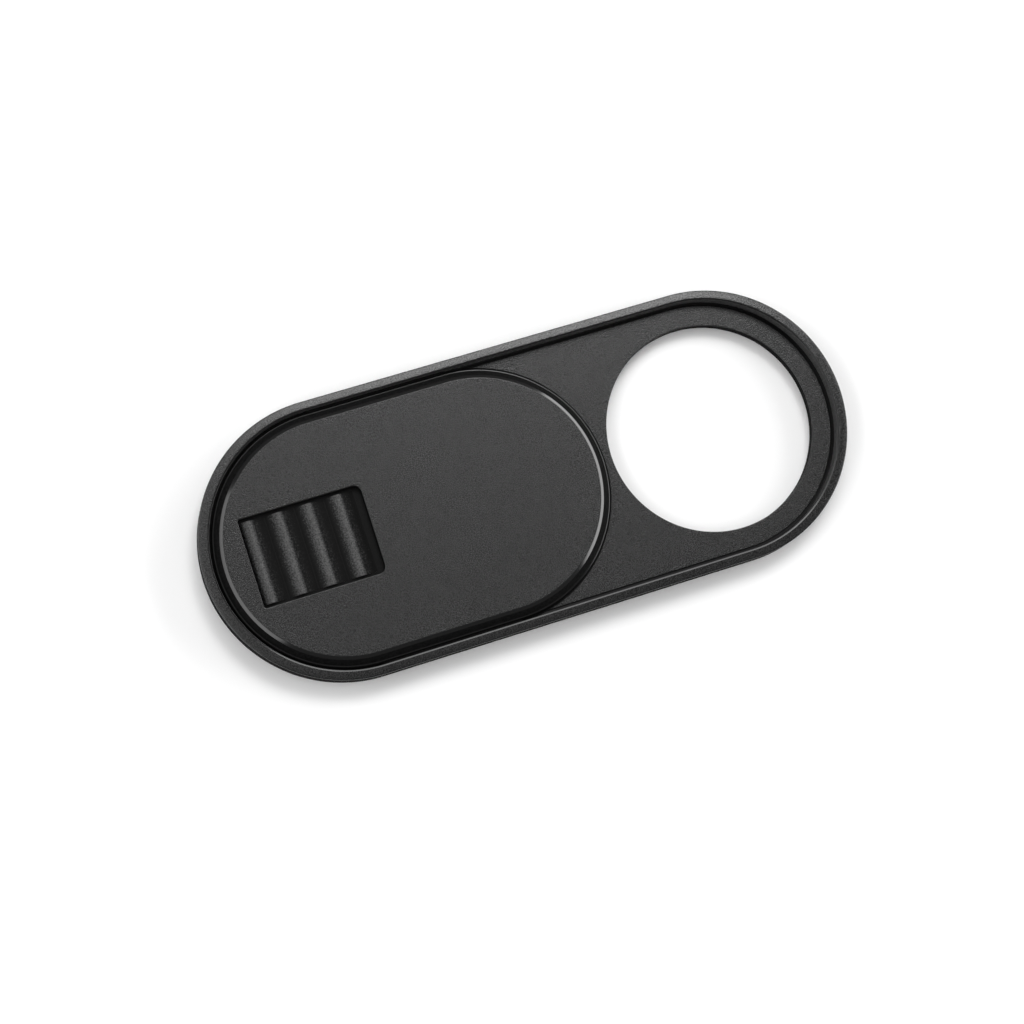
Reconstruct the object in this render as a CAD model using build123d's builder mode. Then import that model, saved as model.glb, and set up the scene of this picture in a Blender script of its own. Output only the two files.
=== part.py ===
"""Sliding webcam cover: a moulded frame, a shutter plate that slides in it and an adhesive backing."""
import os

from build123d import *

# Frame, in millimetres
frame_width = 17.0
cap_spacing = 23.65
frame_height = 1.4
rim_width = 0.58
rim_end_width = 0.68
wall_draft = 0.5
rim_bevel = 0.46
rim_drop = 0.09
rim_outer_round = 0.08
rim_inner_round = 0.06
foot_chamfer = 0.12

# Floor of the frame, with the groove round it and the lens window
floor_thickness = 0.65
floor_chamfer = 0.05
groove_width = 0.19
groove_depth = 0.25
lens_window = 12.86

# Undercut tracks inside the two straight walls
track_depth = 0.25
track_height = 0.3

# Adhesive backing, die-cut a little smaller than the frame and wider than the lens window
tape_thickness = 0.2
tape_inset = 0.5
tape_window_margin = 0.4

# Shutter plate: a flange with a sloped pad on it
slider_cap_spacing = 8.75
flange_thickness = 0.3
flange_land = 0.12
pad_height = 0.4
pad_slope = 48.0
pad_round = 0.3

# Running clearances of the shutter plate
side_gap = 0.17
floor_gap = 0.05
runner_gap = 0.08
stop_gap = 0.06

# Finger grip: a pocket in the pad with rounded ribs across the sliding direction
grip_length = 7.55
grip_width = 5.46
grip_depth = 0.42
grip_margin = 1.89
grip_near_radius = 0.15
grip_far_radius = 0.48
rib_count = 4
rib_pitch = 1.83
rib_height = 0.3
rib_lead = 0.6
rib_rise = 0.84
rib_fall = 0.44

# Heights of the stack, from the face that sticks to the screen
floor_top = tape_thickness + floor_thickness
rim_shoulder = tape_thickness + frame_height - rim_drop
groove_bottom = floor_top - groove_depth
slider_bottom = floor_top + floor_gap
flange_top = slider_bottom + flange_thickness
pad_top = flange_top + pad_height

# Plan sizes that follow from the values above
cavity_width = frame_width - 2 * rim_width
cavity_cap_spacing = cap_spacing - 2 * (rim_end_width - rim_width)
floor_width = cavity_width - 2 * groove_width
track_span = cavity_width + 2 * track_depth
flange_width = cavity_width - 2 * side_gap
pad_foot_width = flange_width - 2 * flange_land
runner_span = track_span - 2 * runner_gap
runner_length = slider_cap_spacing - 2 * stop_gap
runner_thickness = track_height - floor_gap - runner_gap

# The window is concentric with one round end, and the open shutter with the other end of the cavity
window_x = cap_spacing / 2
slider_x = (slider_cap_spacing - cavity_cap_spacing) / 2

# Frame: floor, rim, groove, tracks and lens window in one moulding
with BuildPart() as base_frame:
    with BuildSketch(Plane.XY.offset(tape_thickness)):
        SlotCenterToCenter(cap_spacing, frame_width)
    extrude(amount=frame_height, taper=wall_draft)
    with BuildSketch(Plane.XY.offset(floor_top)):
        SlotCenterToCenter(cavity_cap_spacing, cavity_width)
    extrude(amount=frame_height, mode=Mode.SUBTRACT)
    with BuildSketch(Plane.XY.offset(groove_bottom)):
        SlotCenterToCenter(cavity_cap_spacing, cavity_width)
        SlotCenterToCenter(cavity_cap_spacing, floor_width, mode=Mode.SUBTRACT)
    extrude(amount=groove_depth, mode=Mode.SUBTRACT)
    with Locations((window_x, 0, floor_top)):
        Hole(lens_window / 2)
    rim_face = base_frame.faces().sort_by(Axis.Z)[-1]
    fillet(rim_face.inner_wires()[0].edges(), rim_inner_round)
    rim_face = base_frame.faces().sort_by(Axis.Z)[-1]
    chamfer(rim_face.outer_wire().edges(), rim_bevel, rim_drop, reference=rim_face)
    shoulder_band = rim_drop / 10
    shoulder_edges = base_frame.edges().filter_by_position(
        Axis.Z, rim_shoulder - shoulder_band, rim_shoulder + shoulder_band
    )
    fillet(shoulder_edges, rim_outer_round)
    floor_face = base_frame.faces().filter_by(Plane.XY).group_by(Axis.Z)[-2].sort_by(SortBy.AREA)[-1]
    chamfer(floor_face.outer_wire().edges(), floor_chamfer)
    foot_face = base_frame.faces().sort_by(Axis.Z)[0]
    chamfer(foot_face.outer_wire().edges(), foot_chamfer)
    with BuildSketch(Plane.XY.offset(floor_top)):
        Rectangle(cavity_cap_spacing, track_span)
    extrude(amount=track_height, mode=Mode.SUBTRACT)

# Adhesive backing: one die-cut piece of double-sided tape
with BuildPart() as adhesive_backing:
    with BuildSketch(Plane.XY):
        SlotCenterToCenter(cap_spacing, frame_width - 2 * tape_inset)
        with Locations((window_x, 0)):
            Circle(lens_window / 2 + tape_window_margin, mode=Mode.SUBTRACT)
    extrude(amount=tape_thickness)

# Room of the finger grip: its outline in plan, cut to the rib wave seen from the side
grip_left = slider_x - (slider_cap_spacing + pad_foot_width) / 2 + grip_margin
grip_right = grip_left + grip_length
grip_floor = pad_top - grip_depth
first_crest = grip_left + rib_lead
grip_mid = (grip_left + grip_right) / 2

with BuildPart() as grip_room:
    with BuildSketch(Plane((grip_mid, 0, grip_floor))) as grip_outline:
        Rectangle(grip_length, grip_width)
        fillet(grip_outline.vertices().group_by(Axis.X)[0], grip_near_radius)
        fillet(grip_outline.vertices().group_by(Axis.X)[-1], grip_far_radius)
    extrude(amount=2 * grip_depth)
    with BuildSketch(Plane.XZ):
        for number in range(rib_count):
            crest_x = first_crest + number * rib_pitch
            foot_left = (crest_x - rib_rise, grip_floor)
            flank_left = (crest_x - rib_rise / 2, grip_floor + rib_height / 2)
            crest = (crest_x, grip_floor + rib_height)
            flank_right = (crest_x + rib_fall / 2, grip_floor + rib_height / 2)
            foot_right = (crest_x + rib_fall, grip_floor)
            with BuildLine():
                TangentArc(foot_left, flank_left, tangent=(1, 0))
                TangentArc(crest, flank_left, tangent=(-1, 0))
                TangentArc(crest, flank_right, tangent=(1, 0))
                TangentArc(foot_right, flank_right, tangent=(-1, 0))
                Line(foot_right, foot_left)
            make_face()
    extrude(amount=grip_width, both=True, mode=Mode.SUBTRACT)

# Shutter plate: flange, sloped pad, side runners and the ribbed grip in one moulding
with BuildPart() as slider:
    with BuildSketch(Plane((slider_x, 0, slider_bottom))):
        SlotCenterToCenter(slider_cap_spacing, flange_width)
    extrude(amount=flange_thickness)
    with BuildSketch(Plane((slider_x, 0, flange_top))):
        SlotCenterToCenter(slider_cap_spacing, pad_foot_width)
    extrude(amount=pad_height, taper=pad_slope)
    fillet(slider.faces().sort_by(Axis.Z)[-1].edges(), pad_round)
    with BuildSketch(Plane((slider_x, 0, slider_bottom))):
        Rectangle(runner_length, runner_span)
    extrude(amount=runner_thickness)
    add(grip_room.part, mode=Mode.SUBTRACT)

os.makedirs("parts", exist_ok=True)
base_frame.part.label = "base_frame"
export_step(base_frame.part, "parts/base_frame.step")
adhesive_backing.part.label = "adhesive_backing"
export_step(adhesive_backing.part, "parts/adhesive_backing.step")
slider.part.label = "slider"
export_step(slider.part, "parts/slider.step")
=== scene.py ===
"""Looks of the sliding webcam cover: smooth mouldings, grip ribs, finishes, studio and camera."""

import logging
import math
from dataclasses import dataclass
from enum import Enum, IntEnum

import bmesh
import bpy
from mathutils import Matrix, Vector


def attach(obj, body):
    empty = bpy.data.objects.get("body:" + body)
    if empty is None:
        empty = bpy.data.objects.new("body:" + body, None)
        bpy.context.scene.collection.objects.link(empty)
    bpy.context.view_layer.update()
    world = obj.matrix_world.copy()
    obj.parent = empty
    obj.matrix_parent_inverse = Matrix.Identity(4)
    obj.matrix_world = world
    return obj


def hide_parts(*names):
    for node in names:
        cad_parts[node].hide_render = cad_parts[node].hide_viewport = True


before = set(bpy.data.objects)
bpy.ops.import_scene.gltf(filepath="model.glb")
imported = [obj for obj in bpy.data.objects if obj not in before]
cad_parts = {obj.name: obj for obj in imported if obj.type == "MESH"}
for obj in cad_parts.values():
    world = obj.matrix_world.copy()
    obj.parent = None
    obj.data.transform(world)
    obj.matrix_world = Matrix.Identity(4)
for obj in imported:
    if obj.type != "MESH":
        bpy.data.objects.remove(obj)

LOG = logging.getLogger("webcam_cover")
# A millimetre, and the distance within which points are merged, in metres
MM = 0.001
WELD = 2e-7
# Octaves of a noise pattern, and how much each finer one counts
NOISE_DETAIL = 2.0
NOISE_ROUGHNESS = 0.6
# Sockets of a Mix node for colours
MIX_FROM, MIX_TO, MIX_RESULT = 6, 7, 2


class Body(Enum):
    """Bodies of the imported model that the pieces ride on."""

    FRAME = "frame"
    SHUTTER = "shutter"


class Slot(Enum):
    """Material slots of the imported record."""

    FRAME = "frame_plastic"
    SHUTTER = "shutter_plastic"
    ADHESIVE = "adhesive"


class Skin(IntEnum):
    """Finishes on one moulding, as the numbers of its material slots."""

    TEXTURED = 0
    POLISHED = 1
    MATT = 2
    HONED = 3
    # A grey painted light on the frame's cavity walls and tracks
    PAINTED_LIGHT_WALL = 4


def linear(code: str) -> tuple[float, float, float, float]:
    """Turns an sRGB hex colour into linear values.

    Args:
        code: Six hex digits.

    Returns:
        Linear red, green and blue, and an alpha of 1.
    """
    parts = [int(code[i : i + 2], 16) / 255 for i in (0, 2, 4)]
    red, green, blue = (p / 12.92 if p <= 0.04045 else ((p + 0.055) / 1.055) ** 2.4 for p in parts)
    return red, green, blue, 1.0


def add_node(
    tree: bpy.types.NodeTree,
    kind: str,
    inputs: dict[str | int, object] | None = None,
    **settings: object,
) -> bpy.types.Node:
    """Adds a node to a tree.

    Args:
        tree: The tree that the node goes into.
        kind: The node's type name.
        inputs: Values for its inputs, or the sockets that feed them.
        **settings: Properties of the node.

    Returns:
        The new node.
    """
    node = tree.nodes.new(kind)
    for name, value in settings.items():
        setattr(node, name, value)
    for key, value in (inputs or {}).items():
        if isinstance(value, bpy.types.NodeSocket):
            tree.links.new(value, node.inputs[key])
        else:
            node.inputs[key].default_value = value
    return node


def blank_material(name: str) -> bpy.types.Material:
    """Makes a material with an empty node tree.

    Args:
        name: The material's name.

    Returns:
        The new material.
    """
    made = bpy.data.materials.new(name)
    made.use_nodes = True
    made.node_tree.nodes.clear()
    return made


@dataclass(frozen=True)
class MouldedPlastic:
    """Injection-moulded black ABS, with the grain that its mould was given."""

    name: str
    dark: str
    light: str
    roughness: float
    grain_mm: float
    grain_depth_mm: float
    specular: float = 0.5
    ior: float = 1.54
    dark_below: float = 0.38
    light_above: float = 0.62

    def material(self) -> bpy.types.Material:
        """Builds the finish on Object coordinates.

        Returns:
            The material.
        """
        made = blank_material(self.name)
        tree = made.node_tree
        place = add_node(tree, "ShaderNodeTexCoord").outputs["Object"]
        grain = add_node(
            tree,
            "ShaderNodeTexNoise",
            {
                "Vector": place,
                "Scale": 1 / (self.grain_mm * MM),
                "Detail": NOISE_DETAIL,
                "Roughness": NOISE_ROUGHNESS,
            },
        )
        shade = add_node(
            tree,
            "ShaderNodeMapRange",
            {
                "Value": grain.outputs["Fac"],
                "From Min": self.dark_below,
                "From Max": self.light_above,
            },
        )
        colour = add_node(
            tree,
            "ShaderNodeMix",
            {
                "Factor": shade.outputs["Result"],
                MIX_FROM: linear(self.dark),
                MIX_TO: linear(self.light),
            },
            data_type="RGBA",
        )
        bump = add_node(
            tree,
            "ShaderNodeBump",
            {"Height": grain.outputs["Fac"], "Distance": self.grain_depth_mm * MM},
        )
        skin = add_node(
            tree,
            "ShaderNodeBsdfPrincipled",
            {
                "Base Color": colour.outputs[MIX_RESULT],
                "Roughness": self.roughness,
                "IOR": self.ior,
                "Specular IOR Level": self.specular,
                "Normal": bump.outputs["Normal"],
            },
        )
        add_node(tree, "ShaderNodeOutputMaterial", {"Surface": skin.outputs["BSDF"]})
        return made


@dataclass(frozen=True)
class PaintedLightRibPlastic:
    """Black ABS ribs whose crests are painted grey as a highlight and whose valleys are painted
    dark as shade.
    """

    name: str = "black_abs_ribs_painted_light"
    valley_painted_shade: str = "080808"
    crest_painted_highlight: str = "606060"
    crest_from_mm: float = 1.24
    crest_to_mm: float = 1.66
    speck_mm: float = 0.09
    speck_lift_mm: float = 0.22
    grain_depth_mm: float = 0.01
    roughness: float = 0.45
    specular: float = 0.08
    ior: float = 1.54

    def material(self) -> bpy.types.Material:
        """Builds the finish on Object coordinates.

        Returns:
            The material.
        """
        made = blank_material(self.name)
        tree = made.node_tree
        place = add_node(tree, "ShaderNodeTexCoord").outputs["Object"]
        height = add_node(tree, "ShaderNodeSeparateXYZ", {0: place}).outputs["Z"]
        speck = add_node(
            tree,
            "ShaderNodeTexNoise",
            {
                "Vector": place,
                "Scale": 1 / (self.speck_mm * MM),
                "Detail": NOISE_DETAIL,
                "Roughness": NOISE_ROUGHNESS,
            },
        )
        stray = add_node(
            tree,
            "ShaderNodeMapRange",
            {
                "Value": speck.outputs["Fac"],
                "To Min": -self.speck_lift_mm * MM,
                "To Max": self.speck_lift_mm * MM,
            },
        )
        lifted = add_node(tree, "ShaderNodeMath", {0: height, 1: stray.outputs[0]}, operation="ADD")
        # Painted light by height: the crests get a grey painted highlight and the valleys a
        # near-black painted shade
        painted_light_by_height = add_node(
            tree,
            "ShaderNodeMapRange",
            {
                "Value": lifted.outputs[0],
                "From Min": self.crest_from_mm * MM,
                "From Max": self.crest_to_mm * MM,
            },
            interpolation_type="SMOOTHSTEP",
        )
        colour = add_node(
            tree,
            "ShaderNodeMix",
            {
                "Factor": painted_light_by_height.outputs["Result"],
                MIX_FROM: linear(self.valley_painted_shade),
                MIX_TO: linear(self.crest_painted_highlight),
            },
            data_type="RGBA",
        )
        bump = add_node(
            tree,
            "ShaderNodeBump",
            {"Height": speck.outputs["Fac"], "Distance": self.grain_depth_mm * MM},
        )
        skin = add_node(
            tree,
            "ShaderNodeBsdfPrincipled",
            {
                "Base Color": colour.outputs[MIX_RESULT],
                "Roughness": self.roughness,
                "IOR": self.ior,
                "Specular IOR Level": self.specular,
                "Normal": bump.outputs["Normal"],
            },
        )
        add_node(tree, "ShaderNodeOutputMaterial", {"Surface": skin.outputs["BSDF"]})
        return made


@dataclass(frozen=True)
class AcrylicTape:
    """Black acrylic foam tape, calendered: matt, with closed cells that show as faint pits."""

    name: str = "acrylic_foam_tape"
    dark: str = "141414"
    light: str = "202021"
    roughness: float = 0.7
    cell_mm: float = 0.35
    cell_depth_mm: float = 0.012
    cell_strength: float = 0.6
    ior: float = 1.47

    def material(self) -> bpy.types.Material:
        """Builds the finish on Object coordinates.

        Returns:
            The material.
        """
        made = blank_material(self.name)
        tree = made.node_tree
        place = add_node(tree, "ShaderNodeTexCoord").outputs["Object"]
        cells = add_node(
            tree,
            "ShaderNodeTexVoronoi",
            {"Vector": place, "Scale": 1 / (self.cell_mm * MM)},
            feature="F1",
        )
        colour = add_node(
            tree,
            "ShaderNodeMix",
            {
                "Factor": cells.outputs["Distance"],
                MIX_FROM: linear(self.dark),
                MIX_TO: linear(self.light),
            },
            data_type="RGBA",
        )
        bump = add_node(
            tree,
            "ShaderNodeBump",
            {
                "Height": cells.outputs["Distance"],
                "Distance": self.cell_depth_mm * MM,
                "Strength": self.cell_strength,
            },
        )
        skin = add_node(
            tree,
            "ShaderNodeBsdfPrincipled",
            {
                "Base Color": colour.outputs[MIX_RESULT],
                "Roughness": self.roughness,
                "IOR": self.ior,
                "Normal": bump.outputs["Normal"],
            },
        )
        add_node(tree, "ShaderNodeOutputMaterial", {"Surface": skin.outputs["BSDF"]})
        return made


@dataclass(frozen=True)
class Corner:
    """A corner of a section: its place and round in mm, and its finishes.

    The edge is the finish of the round, and the face that of the strip after it.
    """

    out: float
    height: float
    radius: float = 0.0
    face: Skin = Skin.POLISHED
    edge: Skin = Skin.POLISHED


@dataclass(frozen=True)
class Station:
    """A point of a rounded section, in mm, with the finish of the strip that follows it."""

    out: float
    height: float
    face: Skin


def section(corners: list[Corner], steps: int = 6) -> list[Station]:
    """Rounds the corners of a section.

    Args:
        corners: The corners in order.
        steps: Strips in each round.

    Returns:
        The stations of the section, in order.
    """
    stations: list[Station] = []
    for i, corner in enumerate(corners):
        here = Vector((corner.out, corner.height))
        if not corner.radius:
            stations.append(Station(here.x, here.y, corner.face))
            continue
        before = (Vector((corners[i - 1].out, corners[i - 1].height)) - here).normalized()
        after = (Vector((corners[i + 1].out, corners[i + 1].height)) - here).normalized()
        half = before.angle(after) / 2
        centre = here + (before + after).normalized() * corner.radius / math.sin(half)
        start = here + before * corner.radius / math.tan(half) - centre
        sweep = start.angle_signed(here + after * corner.radius / math.tan(half) - centre)
        for k in range(steps + 1):
            turned = start.copy()
            turned.rotate(Matrix.Rotation(-sweep * k / steps, 2))
            point = centre + turned
            stations.append(Station(point.x, point.y, corner.face if k == steps else corner.edge))
    return stations


Ring = tuple[list[Vector], Skin]


@dataclass(frozen=True)
class Pill:
    """An outline with straight sides and round ends, in mm."""

    half_spacing: float
    centre: float = 0.0
    cap_steps: int = 96
    side_steps: int = 16

    def ring(self, station: Station, ledge: float = 0.0, inset: float = 0.0) -> Ring:
        """Lays the outline through one station of a section.

        Args:
            station: The station, whose distance out is the radius of the ends and half the width.
            ledge: How much further out the straight sides stand.
            inset: How much shorter they are at each end.

        Returns:
            Points in metres, counter-clockwise, and the finish of the strip that follows.
        """
        reach = self.half_spacing - inset
        points = []
        for turn in (1, -1):
            for k in range(self.cap_steps + 1):
                angle = math.pi * (k / self.cap_steps - 0.5)
                x = turn * (self.half_spacing + station.out * math.cos(angle))
                points.append((x, turn * station.out * math.sin(angle)))
            for k in range(self.side_steps + 1):
                x = turn * reach * (1 - 2 * k / self.side_steps)
                points.append((x, turn * (station.out + ledge)))
        return [Vector((self.centre + x, y, station.height)) * MM for x, y in points], station.face


def circle(centre: float, station: Station, steps: int = 192) -> Ring:
    """Lays a circle round a centre on the X axis through one station of a section.

    Args:
        centre: The centre's place on the X axis, in mm.
        station: The station, whose distance out is the radius.
        steps: Points on the circle.

    Returns:
        Points in metres, counter-clockwise, and the finish of the strip that follows.
    """
    turns = [2 * math.pi * k / steps for k in range(steps)]
    points = [
        Vector((centre + station.out * math.cos(t), station.out * math.sin(t), station.height)) * MM
        for t in turns
    ]
    return points, station.face


class Shell:
    """A skin made of rings of points."""

    def __init__(self) -> None:
        """Starts an empty skin."""
        self.mesh = bmesh.new()

    def loft(self, rings: list[Ring]) -> None:
        """Joins rings of equal count into strips, each with the finish of its first ring.

        Args:
            rings: The rings in order.
        """
        loops = [([self.mesh.verts.new(point) for point in points], face) for points, face in rings]
        for (low, face), (high, _) in zip(loops, loops[1:]):
            for k in range(len(low)):
                j = (k + 1) % len(low)
                strip = self.mesh.faces.new((low[k], low[j], high[j], high[k]))
                strip.material_index = face

    def weld(self) -> None:
        """Merges points that coincide and drops faces that have no area."""
        bmesh.ops.remove_doubles(self.mesh, verts=self.mesh.verts, dist=WELD)
        bmesh.ops.dissolve_degenerate(self.mesh, edges=self.mesh.edges, dist=WELD)

    def cover(self, height: float, face: Skin) -> None:
        """Closes the open loops at one height with a flat face that leaves inner loops open.

        Args:
            height: The height in mm.
            face: The flat face's finish.
        """
        edges = [
            e
            for e in self.mesh.edges
            if e.is_boundary and all(abs(v.co.z - height * MM) < WELD for v in e.verts)
        ]
        made = bmesh.ops.triangle_fill(self.mesh, use_beauty=True, edges=edges)
        for part in made["geom"]:
            if isinstance(part, bmesh.types.BMFace):
                part.material_index = face

    def piece(
        self, name: str, materials: list[bpy.types.Material], sharp_deg: float = 16.0
    ) -> bpy.types.Object:
        """Makes the skin an object with smooth rounds.

        Args:
            name: The piece's name.
            materials: Its finishes, in the order of Skin.
            sharp_deg: Edges that turn more than this stay sharp.

        Returns:
            The new object, at the origin.
        """
        bmesh.ops.recalc_face_normals(self.mesh, faces=self.mesh.faces)
        data = bpy.data.meshes.new(name)
        self.mesh.to_mesh(data)
        self.mesh.free()
        data.shade_smooth()
        data.set_sharp_from_angle(angle=math.radians(sharp_deg))
        for material in materials:
            data.materials.append(material)
        made = bpy.data.objects.new(name, data)
        bpy.context.scene.collection.objects.link(made)
        return made


@dataclass(frozen=True)
class FrameMoulding:
    """The frame: foot, wall, bevelled rim, tracks, groove, floor and lens window. Sizes in mm."""

    outline: Pill = Pill(11.825)
    cavity: Pill = Pill(11.725)
    foot: float = 0.2
    foot_chamfer: float = 0.12
    half_width: float = 8.5
    shoulder_out: float = 8.4886
    shoulder: float = 1.51
    crown_out: float = 8.0286
    crown: float = 1.6
    shoulder_round: float = 0.08
    lip_out: float = 8.015
    lip_drop: float = 0.032
    inner_round: float = 0.03
    cavity_out: float = 7.92
    floor: float = 0.85
    floor_out: float = 7.73
    floor_round: float = 0.05
    groove: float = 0.6
    track_depth: float = 0.25
    track_top: float = 1.15
    window_radius: float = 6.43
    window_round: float = 0.03
    margin: float = 0.03

    def build(self, materials: list[bpy.types.Material]) -> bpy.types.Object:
        """Builds the frame's mesh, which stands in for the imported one.

        Args:
            materials: Its finishes, in the order of Skin.

        Returns:
            The piece.
        """
        shell = Shell()
        foot_out = self.half_width - self.foot_chamfer
        outside = section(
            [
                Corner(foot_out - self.margin, self.foot, face=Skin.MATT),
                Corner(foot_out, self.foot, face=Skin.MATT),
                Corner(self.half_width, self.foot + self.foot_chamfer, face=Skin.MATT),
                Corner(self.shoulder_out, self.shoulder, self.shoulder_round, face=Skin.TEXTURED),
                Corner(self.crown_out, self.crown, face=Skin.TEXTURED),
            ]
        )
        lip = self.crown - self.lip_drop
        # The cavity's inner wall under the lip gets the grey painted light
        upper = section(
            [
                Corner(self.lip_out, self.crown),
                Corner(self.cavity_out, lip, self.inner_round, face=Skin.PAINTED_LIGHT_WALL),
                Corner(self.cavity_out, self.track_top),
            ]
        )
        lower = section(
            [
                Corner(self.cavity_out, self.floor),
                Corner(self.cavity_out, self.groove),
                Corner(self.floor_out, self.groove),
                Corner(self.floor_out, self.floor, self.floor_round, face=Skin.TEXTURED),
                Corner(self.floor_out - self.floor_round - self.margin, self.floor),
            ]
        )
        rings = [self.outline.ring(station) for station in outside]
        rings += [self.cavity.ring(station) for station in upper]
        # The tracks' walls carry the same grey painted light
        for height in (self.track_top, self.floor):
            station = Station(self.cavity_out, height, Skin.PAINTED_LIGHT_WALL)
            rings.append(self.cavity.ring(station, self.track_depth))
        rings += [self.cavity.ring(station) for station in lower]
        shell.loft(rings)
        window_out = self.window_radius + self.window_round + self.margin
        window = section(
            [
                Corner(window_out, self.floor, face=Skin.TEXTURED),
                Corner(self.window_radius, self.floor, self.window_round, face=Skin.MATT),
                Corner(self.window_radius, self.foot, self.window_round, Skin.MATT, Skin.MATT),
                Corner(window_out, self.foot),
            ]
        )
        shell.loft([circle(self.outline.half_spacing, station) for station in window])
        shell.weld()
        shell.cover(self.floor, Skin.TEXTURED)
        shell.cover(self.foot, Skin.MATT)
        made = shell.piece("frame_moulding", materials)
        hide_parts("base_frame")
        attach(made, Body.FRAME.value)
        return made


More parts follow.
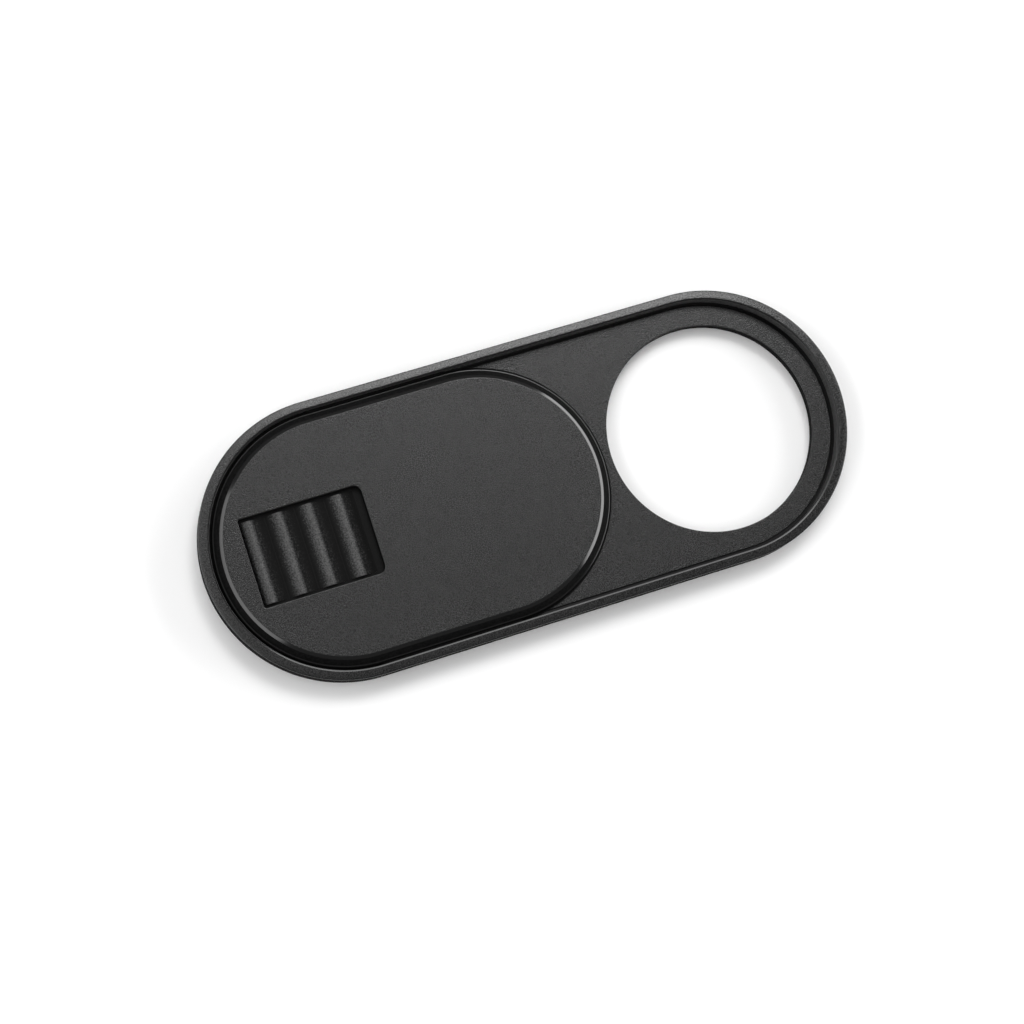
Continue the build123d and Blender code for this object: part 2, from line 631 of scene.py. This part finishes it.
@dataclass(frozen=True)
class GripRibs:
    """Four leaning ribs across the sliding direction, made by a node tree. Sizes in mm."""

    count: int = 4
    pitch: float = 1.83
    first_crest: float = -16.865
    rise: float = 0.84
    fall: float = 0.55
    height: float = 0.3
    ledge: float = 0.11
    ledge_from: float = 0.35
    tail: float = 1.05
    sink: float = 0.004
    width: float = 5.06
    floor: float = 1.18
    steps: int = 56
    smooth_deg: float = 50.0

    def tree(self) -> bpy.types.NodeTree:
        """Builds the node tree that draws the row.

        Returns:
            The tree, with a named input for each size and for the finish.
        """
        tree = bpy.data.node_groups.new("grip_rib_row", "GeometryNodeTree")
        panel = tree.interface
        panel.new_socket("Geometry", in_out="OUTPUT", socket_type="NodeSocketGeometry")
        for name in ("Count", "Steps"):
            panel.new_socket(name, in_out="INPUT", socket_type="NodeSocketInt")
        along_row = ("Pitch", "First Crest", "Width", "Floor")
        of_rib = ("Rise", "Fall", "Height", "Ledge", "Ledge From", "Tail", "Sink")
        for name in along_row + of_rib:
            panel.new_socket(name, in_out="INPUT", socket_type="NodeSocketFloat")
        panel.new_socket("Finish", in_out="INPUT", socket_type="NodeSocketMaterial")
        given = add_node(tree, "NodeGroupInput").outputs
        # The section of one rib is a line of points, lifted to the lower of its two flanks
        left = add_node(tree, "ShaderNodeMath", {0: given["Rise"], 1: -1.0}, operation="MULTIPLY")
        below = add_node(tree, "ShaderNodeMath", {0: given["Sink"], 1: -1.0}, operation="MULTIPLY")
        start = add_node(tree, "ShaderNodeCombineXYZ", {"X": left.outputs[0]})
        end = add_node(tree, "ShaderNodeCombineXYZ", {"X": given["Tail"]})
        line = add_node(
            tree,
            "GeometryNodeMeshLine",
            {"Count": given["Steps"], "Start Location": start.outputs[0], "Offset": end.outputs[0]},
            mode="END_POINTS",
        )
        curve = add_node(tree, "GeometryNodeMeshToCurve", {"Mesh": line.outputs["Mesh"]})
        where = add_node(tree, "GeometryNodeInputPosition")
        along = add_node(tree, "ShaderNodeSeparateXYZ", {0: where.outputs[0]})
        flanks = []
        for foot, brow, top in (
            (left.outputs[0], 0.0, given["Height"]),
            (given["Fall"], 0.0, given["Height"]),
            (given["Tail"], given["Ledge From"], given["Ledge"]),
        ):
            flanks.append(
                add_node(
                    tree,
                    "ShaderNodeMapRange",
                    {
                        "Value": along.outputs["X"],
                        "From Min": foot,
                        "From Max": brow,
                        "To Min": below.outputs[0],
                        "To Max": top,
                    },
                    interpolation_type="SMOOTHSTEP",
                ).outputs["Result"]
            )
        right = add_node(tree, "ShaderNodeMath", {0: flanks[1], 1: flanks[2]}, operation="MAXIMUM")
        lower = add_node(
            tree, "ShaderNodeMath", {0: flanks[0], 1: right.outputs[0]}, operation="MINIMUM"
        )
        wave = add_node(
            tree, "ShaderNodeCombineXYZ", {"X": along.outputs["X"], "Y": lower.outputs[0]}
        )
        drawn = add_node(
            tree,
            "GeometryNodeSetPosition",
            {"Geometry": curve.outputs[0], "Position": wave.outputs[0]},
        )
        closed = add_node(
            tree, "GeometryNodeSetSplineCyclic", {"Geometry": drawn.outputs[0], "Cyclic": True}
        )
        # The section is filled, drawn out to the rib's width and stood upright
        filled = add_node(tree, "GeometryNodeFillCurve", {"Curve": closed.outputs[0]})
        pulled = add_node(
            tree,
            "GeometryNodeExtrudeMesh",
            {
                "Mesh": filled.outputs[0],
                "Offset": (0.0, 0.0, 1.0),
                "Offset Scale": given["Width"],
                "Individual": False,
            },
        )
        back = add_node(tree, "GeometryNodeFlipFaces", {"Mesh": filled.outputs[0]})
        both = add_node(tree, "GeometryNodeJoinGeometry")
        tree.links.new(back.outputs[0], both.inputs[0])
        tree.links.new(pulled.outputs["Mesh"], both.inputs[0])
        welded = add_node(
            tree, "GeometryNodeMergeByDistance", {"Geometry": both.outputs[0], "Distance": WELD}
        )
        upright = add_node(
            tree,
            "GeometryNodeTransform",
            {"Geometry": welded.outputs[0], "Rotation": (math.pi / 2, 0.0, 0.0)},
        )
        # The ribs stand in a row, centred across the pocket
        halved = add_node(tree, "ShaderNodeMath", {0: given["Width"], 1: 0.5}, operation="MULTIPLY")
        first = add_node(
            tree,
            "ShaderNodeCombineXYZ",
            {"X": given["First Crest"], "Y": halved.outputs[0], "Z": given["Floor"]},
        )
        stride = add_node(tree, "ShaderNodeCombineXYZ", {"X": given["Pitch"]})
        row = add_node(
            tree,
            "GeometryNodeMeshLine",
            {
                "Count": given["Count"],
                "Start Location": first.outputs[0],
                "Offset": stride.outputs[0],
            },
            mode="OFFSET",
        )
        placed = add_node(
            tree,
            "GeometryNodeInstanceOnPoints",
            {"Points": row.outputs["Mesh"], "Instance": upright.outputs[0]},
        )
        real = add_node(tree, "GeometryNodeRealizeInstances", {"Geometry": placed.outputs[0]})
        smooth = add_node(
            tree,
            "GeometryNodeSetShadeSmooth",
            {"Geometry": real.outputs[0], "Shade Smooth": True},
        )
        bend = add_node(tree, "GeometryNodeInputMeshEdgeAngle")
        sharp = add_node(
            tree,
            "FunctionNodeCompare",
            {0: bend.outputs[0], 1: math.radians(self.smooth_deg)},
            operation="GREATER_THAN",
        )
        crisp = add_node(
            tree,
            "GeometryNodeSetShadeSmooth",
            {"Geometry": smooth.outputs[0], "Selection": sharp.outputs[0], "Shade Smooth": False},
            domain="EDGE",
        )
        dressed = add_node(
            tree,
            "GeometryNodeSetMaterial",
            {"Geometry": crisp.outputs[0], "Material": given["Finish"]},
        )
        add_node(tree, "NodeGroupOutput", {0: dressed.outputs[0]})
        return tree

    def build(self, material: bpy.types.Material) -> bpy.types.Object:
        """Runs the node tree and keeps the row of ribs as a plain mesh.

        Args:
            material: The ribs' finish.

        Returns:
            The piece.
        """
        tree = self.tree()
        holder = bpy.data.objects.new("rib_holder", bpy.data.meshes.new("rib_holder"))
        bpy.context.scene.collection.objects.link(holder)
        nodes = holder.modifiers.new("ribs", "NODES")
        nodes.node_group = tree
        sizes = {
            "Count": self.count,
            "Steps": self.steps,
            "Pitch": self.pitch * MM,
            "First Crest": self.first_crest * MM,
            "Rise": self.rise * MM,
            "Fall": self.fall * MM,
            "Height": self.height * MM,
            "Ledge": self.ledge * MM,
            "Ledge From": self.ledge_from * MM,
            "Tail": self.tail * MM,
            "Sink": self.sink * MM,
            "Width": self.width * MM,
            "Floor": self.floor * MM,
            "Finish": material,
        }
        for item in tree.interface.items_tree:
            if item.in_out == "INPUT":
                nodes[item.identifier] = sizes[item.name]
        graph = bpy.context.evaluated_depsgraph_get()
        data = bpy.data.meshes.new_from_object(holder.evaluated_get(graph), depsgraph=graph)
        bpy.data.objects.remove(holder)
        data.name = "grip_ribs"
        made = bpy.data.objects.new("grip_ribs", data)
        bpy.context.scene.collection.objects.link(made)
        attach(made, Body.SHUTTER.value)
        return made


@dataclass(frozen=True)
class ShutterPlate:
    """The shutter: a black skirt that stands in for the shadow round its edge, side runners,
    flange, sloped pad and grip pocket. Sizes in mm.
    """

    outline: Pill = Pill(4.375, centre=-7.35)
    bottom: float = 0.9
    flange_out: float = 7.75
    flange_top: float = 1.2
    flange_round: float = 0.08
    shadow_skirt_out: float = 7.88
    shadow_skirt_top: float = 0.95
    runner_out: float = 8.09
    runner_top: float = 1.07
    stop_gap: float = 0.06
    pad_foot: float = 7.62
    band_foot: float = 7.312
    band_drop: float = 0.114
    band_top: float = 7.122
    pad_top: float = 1.6
    band_round: float = 0.06
    foot_round: float = 0.02
    margin: float = 0.03
    grip_left: float = -17.465
    grip_length: float = 7.55
    grip_width: float = 5.46
    grip_floor: float = 1.18
    grip_near_radius: float = 0.15
    grip_far_radius: float = 0.48
    grip_edge_round: float = 0.05
    corner_steps: int = 12

    def pocket(self, station: Station) -> Ring:
        """Lays the grip pocket's outline through one station of its wall.

        Args:
            station: The station, whose distance out is counted from the pocket's wall.

        Returns:
            Points in metres, counter-clockwise, and the finish of the strip that follows.
        """
        half = self.grip_width / 2
        right = self.grip_left + self.grip_length
        near, far = self.grip_near_radius, self.grip_far_radius
        corners = [
            (right - far, -half + far, far, -0.5),
            (right - far, half - far, far, 0.0),
            (self.grip_left + near, half - near, near, 0.5),
            (self.grip_left + near, -half + near, near, 1.0),
        ]
        points = []
        for x, y, radius, start in corners:
            reach = radius + station.out
            for k in range(self.corner_steps + 1):
                angle = math.pi * (start + 0.5 * k / self.corner_steps)
                spot = (x + reach * math.cos(angle), y + reach * math.sin(angle), station.height)
                points.append(Vector(spot) * MM)
        return points, station.face

    def build(self, materials: list[bpy.types.Material]) -> bpy.types.Object:
        """Builds the shutter's mesh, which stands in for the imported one.

        Args:
            materials: Its finishes, in the order of Skin.

        Returns:
            The piece.
        """
        shell = Shell()
        # The skirt is a thin black ring, a dark sheet put where the shadow round the shutter's ends
        # falls
        rings = [
            self.outline.ring(Station(self.flange_out - self.margin, self.bottom, Skin.POLISHED)),
            self.outline.ring(Station(self.shadow_skirt_out, self.bottom, Skin.MATT)),
        ]
        for out, height in (
            (self.shadow_skirt_out, self.bottom),
            (self.shadow_skirt_out, self.shadow_skirt_top),
            (self.flange_out, self.shadow_skirt_top),
            (self.flange_out, self.runner_top),
        ):
            station = Station(out, height, Skin.MATT)
            rings.append(self.outline.ring(station, self.runner_out - out, self.stop_gap))
        edge = section(
            [
                Corner(self.flange_out, self.runner_top, face=Skin.MATT),
                Corner(self.flange_out, self.flange_top, self.flange_round, Skin.HONED),
                Corner(self.pad_foot, self.flange_top, self.foot_round, Skin.MATT, Skin.MATT),
                Corner(self.band_foot, self.pad_top - self.band_drop, self.band_round),
                Corner(self.band_top, self.pad_top, self.band_round, Skin.TEXTURED),
                Corner(self.band_top - self.band_round - self.margin, self.pad_top),
            ]
        )
        rings += [self.outline.ring(station) for station in edge]
        shell.loft(rings)
        wall = section(
            [
                Corner(self.grip_edge_round + self.margin, self.pad_top, face=Skin.TEXTURED),
                Corner(0.0, self.pad_top, self.grip_edge_round, face=Skin.MATT),
                Corner(0.0, self.grip_floor),
            ]
        )
        shell.loft([self.pocket(station) for station in wall])
        shell.weld()
        shell.cover(self.bottom, Skin.POLISHED)
        shell.cover(self.pad_top, Skin.TEXTURED)
        shell.cover(self.grip_floor, Skin.HONED)
        made = shell.piece("shutter_plate", materials)
        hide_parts("slider")
        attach(made, Body.SHUTTER.value)
        return made


@dataclass(frozen=True)
class Backing:
    """The adhesive backing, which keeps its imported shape."""

    node: str = "adhesive_backing"

    def dress(self, material: bpy.types.Material) -> bpy.types.Object:
        """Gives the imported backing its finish.

        Args:
            material: The finish.

        Returns:
            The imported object.
        """
        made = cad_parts[self.node]
        made.data.materials.clear()
        made.data.materials.append(material)
        return made


@dataclass(frozen=True)
class Camera:
    """The photograph's camera, from the cover's tilt and place in a picture 1024 pixels wide."""

    tilt_deg: float = 13.17
    lean_deg: float = 48.6
    roll_deg: float = 17.55
    distance_px: float = 2509.0
    origin_px: tuple[float, float] = (526.3, 485.05)
    mm_per_px: float = 0.06051
    picture_px: float = 1024.0
    sensor_mm: float = 36.0
    clip_mm: tuple[float, float] = (5.0, 20000.0)

    def build(self) -> bpy.types.Object:
        """Places the camera and makes it the scene's own.

        Returns:
            The camera.
        """
        lean = math.radians(self.lean_deg)
        axis = Vector((-math.sin(lean), math.cos(lean), 0.0))
        tilt = Matrix.Rotation(math.radians(self.tilt_deg), 3, axis)
        turn = tilt @ Matrix.Rotation(math.radians(self.roll_deg), 3, "Z")
        middle = self.picture_px / 2
        origin = Vector((self.origin_px[0] - middle, middle - self.origin_px[1], -self.distance_px))
        seen = bpy.data.cameras.new("photo_camera")
        seen.sensor_width = self.sensor_mm
        seen.lens = self.sensor_mm * self.distance_px / self.picture_px
        seen.clip_start, seen.clip_end = (limit * MM for limit in self.clip_mm)
        made = bpy.data.objects.new("photo_camera", seen)
        back = turn.transposed()
        place = back @ -origin * self.mm_per_px * MM
        made.matrix_world = Matrix.Translation(place) @ back.to_4x4()
        bpy.context.scene.collection.objects.link(made)
        bpy.context.scene.camera = made
        return made


@dataclass(frozen=True)
class SoftBox:
    """A rectangular soft light that faces the cover, with its distance and sizes in metres."""

    name: str
    azimuth_deg: float
    elevation_deg: float
    distance: float
    wide: float
    tall: float
    radiance: float

    def build(self) -> bpy.types.Object:
        """Places the lamp, with the power that gives its radiance.

        Returns:
            The lamp.
        """
        lamp = bpy.data.lights.new(self.name, "AREA")
        lamp.shape = "RECTANGLE"
        lamp.size = self.wide
        lamp.size_y = self.tall
        lamp.energy = math.pi * self.wide * self.tall * self.radiance
        turn, rise = math.radians(self.azimuth_deg), math.radians(self.elevation_deg)
        level = math.cos(rise)
        away = Vector((math.cos(turn) * level, math.sin(turn) * level, math.sin(rise)))
        made = bpy.data.objects.new(self.name, lamp)
        made.location = away * self.distance
        made.rotation_mode = "QUATERNION"
        made.rotation_quaternion = (-away).to_track_quat("-Z", "Y")
        bpy.context.scene.collection.objects.link(made)
        return made


@dataclass(frozen=True)
class Studio:
    """White table with its sizes in mm, soft boxes and dark surroundings with a pale horizon."""

    table: str = "fbfbfb"
    table_reach: float = 3000.0
    table_drop: float = 0.02
    opening: Pill = Pill(11.825)
    opening_out: float = 7.9
    island_out: float = 7.0
    horizon: float = 1.0
    ceiling: float = 0.21
    glow_from: float = 0.05
    glow_to: float = 0.2
    # Name, azimuth, elevation, distance, width, height and radiance
    boxes: tuple[SoftBox, ...] = (
        SoftBox("key_low", 66.0, 48.0, 0.6, 0.36, 0.26, 2.95),
        SoftBox("key_high", 74.0, 58.0, 0.6, 0.44, 0.24, 1.75),
        SoftBox("key_core", 54.0, 55.0, 0.6, 0.16, 0.16, 5.1),
        SoftBox("right_strip", 2.0, 19.0, 0.5, 0.76, 0.19, 5.75),
        SoftBox("left_box", 173.0, 41.0, 0.5, 0.76, 0.2, 2.7),
        SoftBox("left_strip", 170.0, 20.0, 0.5, 0.6, 0.16, 1.05),
        SoftBox("left_high", 165.0, 62.0, 0.6, 0.5, 0.3, 0.52),
        SoftBox("overhead", 40.0, 86.0, 0.6, 0.26, 0.26, 0.31),
    )

    def build_table(self) -> bpy.types.Object:
        """Lays the white table, clear from below and open under the cover's tape.

        Returns:
            The table.
        """
        paper = blank_material("white_table")
        tree = paper.node_tree
        top = add_node(tree, "ShaderNodeBsdfDiffuse", {"Color": linear(self.table)})
        clear = add_node(tree, "ShaderNodeBsdfTransparent")
        side = add_node(tree, "ShaderNodeNewGeometry")
        both = add_node(
            tree,
            "ShaderNodeMixShader",
            {0: side.outputs["Backfacing"], 1: top.outputs[0], 2: clear.outputs[0]},
        )
        add_node(tree, "ShaderNodeOutputMaterial", {"Surface": both.outputs[0]})
        edges = (self.table_reach, self.opening_out, self.island_out, 0.0)
        flat = [Station(out, -self.table_drop, Skin.TEXTURED) for out in edges]
        shell = Shell()
        shell.loft([self.opening.ring(station) for station in flat[:2]])
        shell.loft([circle(self.opening.half_spacing, station) for station in flat[2:]])
        shell.weld()
        data = bpy.data.meshes.new("table")
        shell.mesh.to_mesh(data)
        shell.mesh.free()
        data.materials.append(paper)
        made = bpy.data.objects.new("table", data)
        bpy.context.scene.collection.objects.link(made)
        return made

    def build_sky(self) -> None:
        """Makes the surroundings: a white horizon under a dark ceiling."""
        world = bpy.data.worlds.new("studio")
        bpy.context.scene.world = world
        world.use_nodes = True
        tree = world.node_tree
        tree.nodes.clear()
        way = add_node(tree, "ShaderNodeTexCoord").outputs["Generated"]
        up = add_node(tree, "ShaderNodeSeparateXYZ", {0: way}).outputs["Z"]
        level = add_node(
            tree,
            "ShaderNodeMapRange",
            {
                "Value": up,
                "From Min": self.glow_from,
                "From Max": self.glow_to,
                "To Min": self.horizon,
                "To Max": self.ceiling,
            },
            interpolation_type="SMOOTHSTEP",
        )
        glow = add_node(
            tree,
            "ShaderNodeBackground",
            {"Color": linear("ffffff"), "Strength": level.outputs["Result"]},
        )
        add_node(tree, "ShaderNodeOutputWorld", {"Surface": glow.outputs[0]})

    def build(self) -> None:
        """Builds the table, the surroundings and the lamps."""
        self.build_table()
        self.build_sky()
        for box in self.boxes:
            box.build()


def main() -> None:
    """Builds the cover and its studio, and reports each piece."""
    logging.basicConfig(level=logging.INFO, format="%(name)s: %(message)s")
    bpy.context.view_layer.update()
    # Spark-eroded faces scatter light a little: an even satin grey.
    # Their grain is too fine to show, so it is drawn as coarse as it needs.
    textured = MouldedPlastic(
        "spark_eroded_black_abs",
        dark="050505",
        light="2e2e2e",
        roughness=0.19,
        grain_mm=0.07,
        grain_depth_mm=0.017,
    )
    # Polished faces release from the mould: near black, with thin sharp lights along the rounds
    polished = MouldedPlastic(
        "polished_black_abs",
        dark="0c0c0c",
        light="0f0f0f",
        roughness=0.15,
        grain_mm=0.3,
        grain_depth_mm=0.0002,
    )
    # Blasted faces swallow light in their pits: flat black, even where light grazes them
    matt = MouldedPlastic(
        "blasted_black_abs",
        dark="101010",
        light="191919",
        roughness=0.6,
        grain_mm=0.12,
        grain_depth_mm=0.001,
        specular=0.01,
    )
    # Stone-honed faces keep a faint broad sheen: dark grey in the light, black in the shade
    honed = MouldedPlastic(
        "honed_black_abs",
        dark="0a0a0a",
        light="101010",
        roughness=0.36,
        grain_mm=0.1,
        grain_depth_mm=0.001,
        specular=0.11,
    )
    # Painted light: the cavity walls are coloured a dull grey, which shows as a lit wall wherever a
    # lamp reaches
    painted_light_wall = MouldedPlastic(
        "black_abs_wall_painted_light",
        dark="363636",
        light="4e4e4e",
        roughness=0.5,
        grain_mm=0.1,
        grain_depth_mm=0.001,
        specular=0.1,
    )
    mouldings = [finish.material() for finish in (textured, polished, matt, honed, painted_light_wall)]
    # Ribs without gloss: crests painted grey as a highlight and valleys painted near black as
    # shade, speckled by scratches drawn as coarse as shows
    ribs = PaintedLightRibPlastic().material()
    # Foam tape is a flat black with faint pits, its cells drawn larger than life to show
    tape = AcrylicTape().material()
    pieces = [
        FrameMoulding().build(mouldings),
        ShutterPlate().build(mouldings),
        GripRibs().build(ribs),
        Backing().dress(tape),
    ]
    for made in pieces:
        LOG.info("%s has %d faces", made.name, len(made.data.polygons))
    Studio().build()
    Camera().build()
    bpy.context.scene.view_settings.view_transform = "Standard"


if __name__ == "__main__":
    main()
